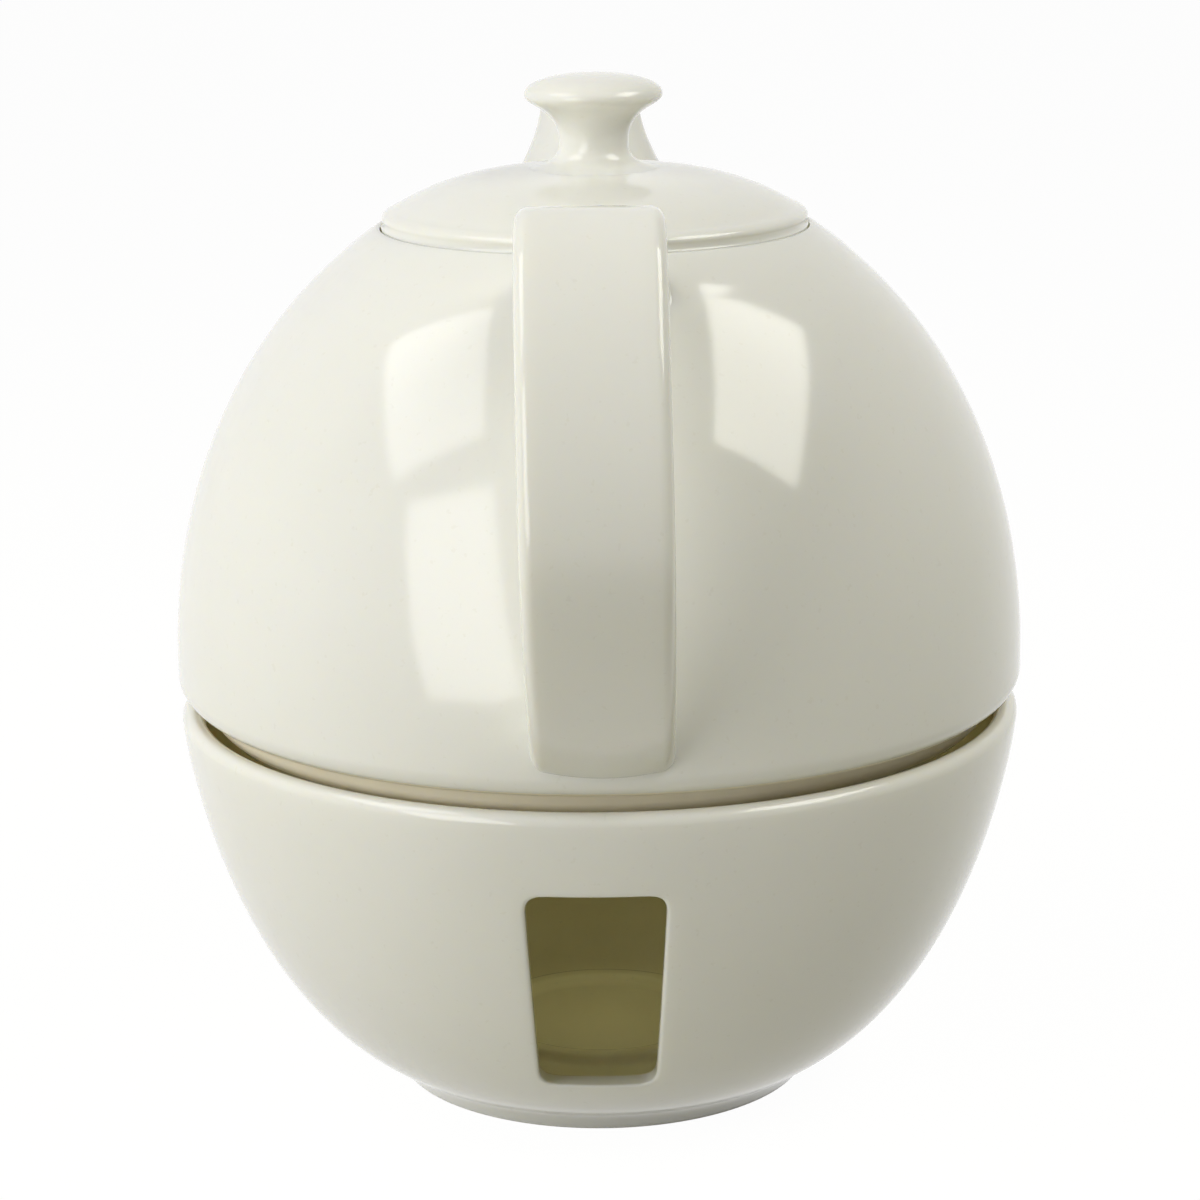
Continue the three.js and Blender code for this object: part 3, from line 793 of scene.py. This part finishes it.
def strapSection():
    # x across the strap and t through it, rounded at the edges and a little crowned
    x, t, edge = handle["width"] / 2, handle["thickness"] / 2, handle["edge"]
    points = []
    for centreX, centreT, start in ((x - edge, t - edge, 90), (x - edge, -t + edge, 0),
                                    (-x + edge, -t + edge, -90), (-x + edge, t - edge, -180)):
        points += arc((centreX, centreT), edge, start, start - 90, 7)
    full = []
    for i, point in enumerate(points):
        full.append(point)
        after = points[(i + 1) % len(points)]
        gap = math.hypot(after[0] - point[0], after[1] - point[1])
        pieces = 10 if gap > 10 else 1
        for k in range(1, pieces):
            full.append(tuple(p + (q - p) * k / pieces for p, q in zip(point, after)))
    crowned = []
    for across, through in full:
        share = 1 - (across / x) ** 2
        crowned.append((across, through + math.copysign(handle["crown"] * share, through)))
    return crowned


def handleRails():
    # one rail for each point of the strap's section, leaning as in the photo
    line = handleLine()
    rails = [[] for _ in strapSection()]
    half, thick = handle["width"] / 2, handle["thickness"] / 2
    for i, (out, z) in enumerate(line):
        before, after = line[max(i - 1, 0)], line[min(i + 1, len(line) - 1)]
        run = math.hypot(after[0] - before[0], after[1] - before[1])
        normal = (-(after[1] - before[1]) / run, (after[0] - before[0]) / run)
        near = min(max((i - len(line) + handle["footCrownPoints"]) / handle["footCrownRise"], 0), 1)
        for rail, (across, through) in zip(rails, strapSection()):
            outer = max(through / thick, 0)
            through += handle["footCrown"] * near * near * outer * (0.3 - (across / half) ** 2)
            side = across + handle["leanFoot"] - handle["lean"] * (z - handle["leanAt"])
            rail.append(Vector((side, -(out + normal[0] * through), z + normal[1] * through)))
    return rails


def handleRings():
    rails = handleRails()

    def rootSpread(point, outward):
        spread = handle["rootSpread"]
        room = max(math.hypot(point.x, point.y) - handle["rootLimit"], handle["leastRoom"]) * 0.9
        towardsLid = max(0, -outward.dot(Vector((point.x, point.y, 0)).normalized()))
        return min(spread, spread * (1 - towardsLid) + room * towardsLid)

    def footSpread(point, outward):
        upwards = min(max(outward.z * 2 - 0.6, 0), 1)
        return handle["footSpread"] * upwards - handle["footRound"] * (1 - upwards)

    steps = handle["flowSteps"]
    rootFlow, rootTops = rootRings(rails, trimRails(rails), rootSpread, steps)
    turned = [list(reversed(rail)) for rail in rails]
    footFlow, footTops = rootRings(turned, trimRails(turned), footSpread, steps)
    last = len(rails[0]) - 1
    middle = []
    for k in range(1, handle["rows"]):
        share = k / handle["rows"]
        middle.append([alongRail(rail, start + (last - end - start) * share)
                       for rail, start, end in zip(rails, rootTops, footTops)])
    rings = rootFlow + middle + list(reversed(footFlow))

    def sink(ring):
        centre = sum(ring, Vector()) / len(ring)
        inward = bellyNormal(centre) * handle["sink"]
        return [point.lerp(centre, handle["sinkShrink"]) - inward for point in ring]

    return [sink(rings[0])] + rings + [sink(rings[-1])]


def capEnds(piece):
    # a face closes each open end
    mesh = bmesh.from_edit_mesh(piece.data)
    bpy.ops.mesh.select_mode(type="EDGE")
    bpy.ops.mesh.select_all(action="DESELECT")
    for edge in mesh.edges:
        edge.select_set(edge.is_boundary)
    bmesh.update_edit_mesh(piece.data)
    bpy.ops.mesh.edge_face_add()
    closeSeams()


strapHandle = drawRings("strapHandle", handleRings())
capEnds(strapHandle)
finishMesh(strapHandle, porcelainGlaze, 60)
settle(strapHandle, "pot", "pot_glaze", "pot_handle")


# spout

spout = {
    "line": ((50.0, 122.0), (78.0, 134.0), (99.0, 157.0), (115.85, 196.0)),
    "lineSteps": 200, "top": 190.0, "wall": 3.2, "around": 64, "rows": 60,
    "rootWidth": 66.0, "tipWidth": 19.0, "lean": -1.0, "rootDepth": 72.0, "tipDepth": 17.6,
    "stations": (0, 0.25, 0.5, 0.72, 0.86, 1),
    "widthShares": (1, 0.87, 0.67, 0.39, 0.125, 0),
    "depthShares": (1, 0.816, 0.522, 0.25, 0.088, 0),
    "spread": 8.0, "flowSteps": 9, "lipSteps": 8, "sink": 1.2,
}


def smoothShare(shares, t):
    # a smooth curve through the shares, each with the slope between its neighbours
    stations = spout["stations"]
    i = max(k for k in range(len(stations) - 1) if stations[k] <= t or k == 0)
    slopes = []
    for k in (i, i + 1):
        low, high = max(k - 1, 0), min(k + 1, len(stations) - 1)
        slopes.append((shares[high] - shares[low]) / (stations[high] - stations[low]))
    run = stations[i + 1] - stations[i]
    s = (t - stations[i]) / run
    return ((2 * s ** 3 - 3 * s * s + 1) * shares[i] + (s ** 3 - 2 * s * s + s) * run * slopes[0]
            + (-2 * s ** 3 + 3 * s * s) * shares[i + 1] + (s ** 3 - s * s) * run * slopes[1])


def spoutRails(inset):
    # rails along the spout, a distance inside its skin
    steps = spout["lineSteps"]
    line = cubic(*spout["line"], steps)
    tipWidth, tipDepth = spout["tipWidth"], spout["tipDepth"]
    rails = [[] for _ in range(spout["around"])]
    for i, (out, z) in enumerate(line):
        t = i / steps
        before, after = line[max(i - 1, 0)], line[min(i + 1, steps)]
        run = math.hypot(after[0] - before[0], after[1] - before[1])
        upward = (-(after[1] - before[1]) / run, (after[0] - before[0]) / run)
        width = tipWidth + (spout["rootWidth"] - tipWidth) * smoothShare(spout["widthShares"], t)
        depth = tipDepth + (spout["rootDepth"] - tipDepth) * smoothShare(spout["depthShares"], t)
        for j, rail in enumerate(rails):
            angle = fullTurn * j / spout["around"]
            side = (width / 2 - inset) * math.cos(angle) + spout["lean"] * t
            rise = (depth / 2 - inset) * math.sin(angle)
            rail.append(Vector((side, out + upward[0] * rise, z + upward[1] * rise)))
    return rails


def heightOn(rail, height):
    # the position on a rail where it reaches a height
    for i in range(len(rail) - 1):
        if rail[i].z <= height < rail[i + 1].z:
            return i + (height - rail[i].z) / (rail[i + 1].z - rail[i].z)
    return len(rail) - 1


def spoutRings():
    # up the outside, over the lip, down the bore and back to the first ring
    outer, inner = spoutRails(0), spoutRails(spout["wall"])
    lipHeight = spout["top"] - spout["wall"] / 2
    flow, starts = rootRings(outer, trimRails(outer), lambda point, outward: spout["spread"],
                             spout["flowSteps"])
    rings = list(flow)
    for k in range(1, spout["rows"] + 1):
        share = k / spout["rows"]
        rings.append([alongRail(rail, start + (heightOn(rail, lipHeight) - start) * share)
                      for rail, start in zip(outer, starts)])
    lipOut = rings[-1]
    lipIn = [alongRail(rail, heightOn(rail, lipHeight)) for rail in inner]
    for k in range(1, spout["lipSteps"]):
        angle = math.pi * k / spout["lipSteps"]
        lift = Vector((0, 0, spout["wall"] / 2 * math.sin(angle)))
        rings.append([(a + b) / 2 + (a - b) / 2 * math.cos(angle) + lift for a, b in zip(lipOut, lipIn)])
    innerHits = trimRails(inner)
    for k in range(spout["rows"], -1, -1):
        share = k / spout["rows"]
        rings.append([alongRail(rail, hit[1] + (heightOn(rail, lipHeight) - hit[1]) * share)
                      for rail, hit in zip(inner, innerHits)])
    for ring in (rings[-1], flow[0]):
        rings.append([point - bellyNormal(point) * spout["sink"] for point in ring])
    return rings + [flow[0]]


pouringSpout = drawRings("pouringSpout", spoutRings())
closeSeams()
finishMesh(pouringSpout, porcelainGlaze, 60)
settle(pouringSpout, "pot", "pot_glaze", "pot_spout")


# lid and knob

lid = {
    "radius": 42.4, "underside": 173.036, "wall": 4.0, "steps": 160,
    "edgeRise": 1.9, "domeHeight": 10.71, "domePower": 3.175, "swell": 1.3, "swellPower": 3.5,
    "bandRadius": 41.85, "bandTop": 175.6, "noseRadius": 42.05, "seamGap": 0.12, "seamEdge": 0.4,
    "collarRadius": 35.3, "collarWall": 3.2, "collarDepth": 9.0, "collarEdge": 1.6,
    "ventDiameter": 4.0, "ventRadius": 25.0, "ventDepth": 16,
}
lid["top"] = lid["underside"] + lid["edgeRise"] + lid["domeHeight"]


def domeAt(r):
    # height of the lid's outside at a radius
    share = r / lid["radius"]
    drop = lid["domeHeight"] * share ** lid["domePower"]
    return lid["top"] - drop + lid["swell"] * share ** lid["swellPower"]


def lidProfile():
    nose, band, bandTop, under = lid["noseRadius"], lid["bandRadius"], lid["bandTop"], lid["underside"]
    seam, seamEdge = belly["galleryRadius"] - lid["seamGap"], lid["seamEdge"]
    outer, wall, edge = lid["collarRadius"], lid["wall"], lid["collarEdge"]
    inner, bottom = outer - lid["collarWall"], under - lid["collarDepth"]
    ceiling = [(r, domeAt(r) - wall) for r in [inner * 0.94 * i / 14 for i in range(15)]]
    innerTop = domeAt(inner) - wall
    collar = (bend(ceiling[-1], (inner, innerTop), (inner, innerTop - 2.2), 5)[1:]
              + bend((inner, bottom + edge), (inner, bottom), (inner + edge, bottom), 5)
              + bend((outer - edge, bottom), (outer, bottom), (outer, bottom + edge), 5)
              + bend((outer, under - 1.2), (outer, under), (outer + 1.2, under), 4))
    lower = (arc((seam - seamEdge, under + seamEdge), seamEdge, -90, 0, 5)
             + bend((seam, under + 1.3), (band + 0.05, under + 1.45), (band, under + 1.9), 4))
    shoulder = nose - 2.4
    upper = (bend((band, bandTop - 0.5), (band, bandTop), (nose - 0.04, bandTop + 0.3), 5)
             + bend((nose, bandTop + 0.6), (nose, bandTop + 1.5), (shoulder, domeAt(shoulder)), 9))
    dome = [(r, domeAt(r)) for r in [shoulder * (1 - i / 44) for i in range(1, 45)]]
    return ceiling + collar + lower + upper + dome


lidDome = drawProfile("lidDome", lidProfile())
spinProfile([(360, lid["steps"])])
editOff()
ventSpot = (0, lid["ventRadius"], lid["top"] - lid["wall"] / 2)
drill(lidDome, ventSpot, lid["ventDiameter"], lid["ventDepth"], (0, 0, 0))
finishMesh(lidDome, porcelainGlaze, 38)
settle(lidDome, "lid", "pot_glaze", "lid_cover")

knob = {
    "radius": 13.6, "height": 18.25, "crownHeight": 4.1, "crownPower": 2.2, "lip": 2.2, "undercut": 2.6,
    "stemRadius": 6.8, "stemRise": 0.8, "flareRadius": 3.8, "flareEdge": 0.6,
    "skirtRadius": 13.2, "baseRadius": 12.0, "sink": 1.6, "crownSteps": 28, "steps": 120,
}


def knobProfile():
    top, power, steps = lid["top"], 2 / knob["crownPower"], knob["crownSteps"]
    capEdge = top + knob["height"] - knob["crownHeight"]
    flareTop = top + knob["flareEdge"] + knob["flareRadius"]
    crown = []
    for i in range(steps + 1):
        angle = math.pi / 2 * i / steps
        crown.append((knob["radius"] * math.sin(angle) ** power,
                      capEdge + knob["crownHeight"] * max(math.cos(angle), 0) ** power))
    stem = knob["stemRadius"]
    neck = cubic((knob["radius"], capEdge), (knob["radius"], capEdge - knob["lip"]),
                 (stem, capEdge - knob["undercut"]), (stem, flareTop + knob["stemRise"]), 22)
    flare = arc((stem + knob["flareRadius"], flareTop), knob["flareRadius"], 180, 250, 10)
    run, reach, base = flare[-1], knob["skirtRadius"], top - knob["sink"]
    skirt = bend(run, (run[0] + 1.6, run[1] - 0.62), (reach, domeAt(reach) - 0.06), 6)[1:]
    return crown + neck[1:] + flare + skirt + [(knob["baseRadius"], base), (0, base)]


lidKnob = drawProfile("mushroomKnob", knobProfile())
spinProfile([(360, knob["steps"])])
finishMesh(lidKnob, porcelainGlaze, 60)
settle(lidKnob, "lid", "pot_glaze", "lid_knob")


# lugs in the warmer

lug = {
    "count": 4, "turn": -45, "width": 11.0, "reach": 18.25, "length": 15.0, "height": 12.6, "drop": 5.0,
    "gap": 0.3, "edge": 1.0, "wallSink": 0.15,
}


def lugRings():
    # rings of the stud's plan from its foot up, fitted to the bowl and to the pot
    half = lug["width"] / 2
    nose = bowl["rimRadius"] - lug["reach"] + half
    end, step = nose + lug["length"], lug["length"] / 5
    bottom = bowl["rimHeight"] - lug["drop"] - lug["height"]
    top = bottom + lug["height"]
    plan = [(nose + step * i, half) for i in range(5, 0, -1)]
    plan += arc((nose, 0), half, 90, 270, 14)
    plan += [(nose + step * i, -half) for i in range(1, 6)]
    plan += [(end, -half + 2 * half * i / 6) for i in range(1, 6)]

    def seat(x, y, z):
        # back to the bowl's wall, and down under the pot
        radius = math.hypot(x, y)
        wallRadius = radiusOn(innerLine, z) + lug["wallSink"]
        if radius > wallRadius:
            x, y = x * wallRadius / radius, y * wallRadius / radius
            radius = wallRadius
        return Vector((x, y, min(z, heightUnder(radius) - lug["gap"])))

    # how far the sides stand in at each height
    levels = [(half * 0.9, bottom), (2.4, bottom), (0.5, bottom + 0.4), (0, bottom + 1.2),
              (0, bottom + 4), (0, top - 3), (0, top - lug["edge"]), (0.35, top - 0.3),
              (1.1, top), (2.6, top), (half * 0.9, top)]
    rings = []
    for inset, z in levels:
        ring = []
        for x, y in plan:
            scale = 1 - inset / half
            insetX = x + inset * 0.9 if x <= nose else x + inset * 0.4
            ring.append(seat(min(insetX, end), y * scale, z))
        rings.append(ring)
    return rings


def heightUnder(radius):
    # height of the pot's underside at a radius
    for (r0, z0), (r1, z1) in zip(underside, underside[1:]):
        if r1 <= radius <= r0:
            return z0 + (z1 - z0) * (r0 - radius) / max(r0 - r1, 1e-9)
    return math.inf if radius > underside[0][0] else belly["footTop"]


underside = neckLine(60)
firstLug = drawRings("restStud1", lugRings())
capEnds(firstLug)
bpy.ops.mesh.select_all(action="SELECT")
bpy.ops.transform.rotate(value=math.radians(lug["turn"]), orient_axis="Z", center_override=(0, 0, 0))
# the studs carry the inside's painted warm bounce light
finishMesh(firstLug, insideBounceGlaze, 60)
studs = [firstLug]
for number in range(2, lug["count"] + 1):
    stud = firstLug.copy()
    stud.data = firstLug.data.copy()
    stud.name = f"restStud{number}"
    bpy.context.collection.objects.link(stud)
    stud.data.transform(Matrix.Rotation(fullTurn * (number - 1) / lug["count"], 4, "Z"))
    studs.append(stud)
for number, stud in enumerate(studs, 1):
    settle(stud, "warmer", "warmer_glaze", f"rest_lug_{number}")


# floor, lamps and camera

floorLook = {
    "size": 12, "place": (0, 2, 0),  # metres
    "colour": (0.46, 0.45, 0.37, 1), "glow": 1.08, "glowShare": 0.9,
}
panelAim = (0, 0, 0.12)  # metres, the middle of the pot in its warmer
view = {
    "lens": 102.357, "sensor": 36, "place": (0.28, -672.4, 266.9), "tilt": 75.862, "roll": -0.6,
}


def makeFloor():
    # white to the camera, and a dim matt floor for the light
    bpy.ops.object.select_all(action="DESELECT")
    bpy.ops.mesh.primitive_plane_add(size=floorLook["size"], location=floorLook["place"])
    floor = bpy.context.object
    floor.name = "studioFloor"
    bpy.ops.object.transform_apply(location=True, rotation=True, scale=True)
    material = bpy.data.materials.new("paleFloor")
    paint = Paint(material)
    matt = paint.number("ShaderNodeBsdfDiffuse", {}, {"Color": floorLook["colour"]})
    white = paint.number("ShaderNodeEmission", {}, {
        "Color": (1, 1, 1, 1), "Strength": floorLook["glow"]})
    both = paint.number("ShaderNodeMixShader", {}, {
        0: paint.seenRays() * floorLook["glowShare"], 1: matt, 2: white})
    paint.node("ShaderNodeOutputMaterial", {}, {"Surface": both})
    floor.data.materials.append(material)


def makeRoom(strength):
    # white where it is seen, and a weaker light on the pot
    world = bpy.data.worlds.new("softRoom")
    paint = Paint(world)
    seen = paint.seenRays()
    tone = paint.blendColour(seen, (1.0, 0.99, 0.93, 1), (1, 1, 1, 1))
    level = strength + seen * (1 - strength)
    air = paint.number("ShaderNodeBackground", {}, {"Color": tone, "Strength": level})
    paint.node("ShaderNodeOutputWorld", {}, {"Surface": air})
    bpy.context.scene.world = world


def addPanel(name, place, size, watts, turn, colour=(1, 1, 1), mirrored=True):
    # a soft rectangular lamp that faces the pot
    lamp = bpy.data.lights.new(name, "AREA")
    lamp.shape = "RECTANGLE"
    lamp.size, lamp.size_y = size[0] * mm, size[1] * mm
    lamp.energy = watts
    lamp.color = colour
    panel = bpy.data.objects.new(name, lamp)
    bpy.context.collection.objects.link(panel)
    aim = (Vector(panelAim) - Vector(place) * mm).normalized()
    facing = aim.to_track_quat("-Z", "Y").to_matrix().to_4x4()
    roll = Matrix.Rotation(math.radians(turn), 4, "Z")
    panel.matrix_world = Matrix.Translation(Vector(place) * mm) @ facing @ roll
    panel.visible_camera = False
    panel.visible_glossy = mirrored


def addGlow(name, place, width, watts, colour):
    # light that the thin porcelain lets into the warmer
    lamp = bpy.data.lights.new(name, "POINT")
    lamp.shadow_soft_size = width / 2 * mm
    lamp.energy = watts
    lamp.color = colour
    glow = bpy.data.objects.new(name, lamp)
    bpy.context.collection.objects.link(glow)
    glow.location = Vector(place) * mm
    glow.visible_camera = False
    glow.visible_glossy = False


makeFloor()
addPanel("leftUpperPanel", (-554, -183, 790), (400, 560), 2.1, 55)
addPanel("leftLowerPanel", (-527, -696, 294), (390, 690), 2.9, 20)
addPanel("leftSidePanel", (-900, -100, 420), (700, 700), 3.3, 0, mirrored=False)
addPanel("rightPanel", (554, -163, 779), (365, 660), 4.1, -58, (1.0, 0.988, 0.92))
addGlow("warmerGlow", (0, 0, 39), 30, 0.0048, (1.0, 0.95, 0.5))
makeRoom(0.12)
bpy.context.scene.view_settings.view_transform = "Standard"

lens = bpy.data.cameras.new("studioCamera")
lens.sensor_width = view["sensor"]
lens.lens = view["lens"]
camera = bpy.data.objects.new("studioCamera", lens)
bpy.context.collection.objects.link(camera)
camera.matrix_world = (Matrix.Translation([value * mm for value in view["place"]])
                       @ Matrix.Rotation(math.radians(view["tilt"]), 4, "X")
                       @ Matrix.Rotation(math.radians(view["roll"]), 4, "Z"))
bpy.context.scene.camera = camera
print("stage, lamps and camera set")
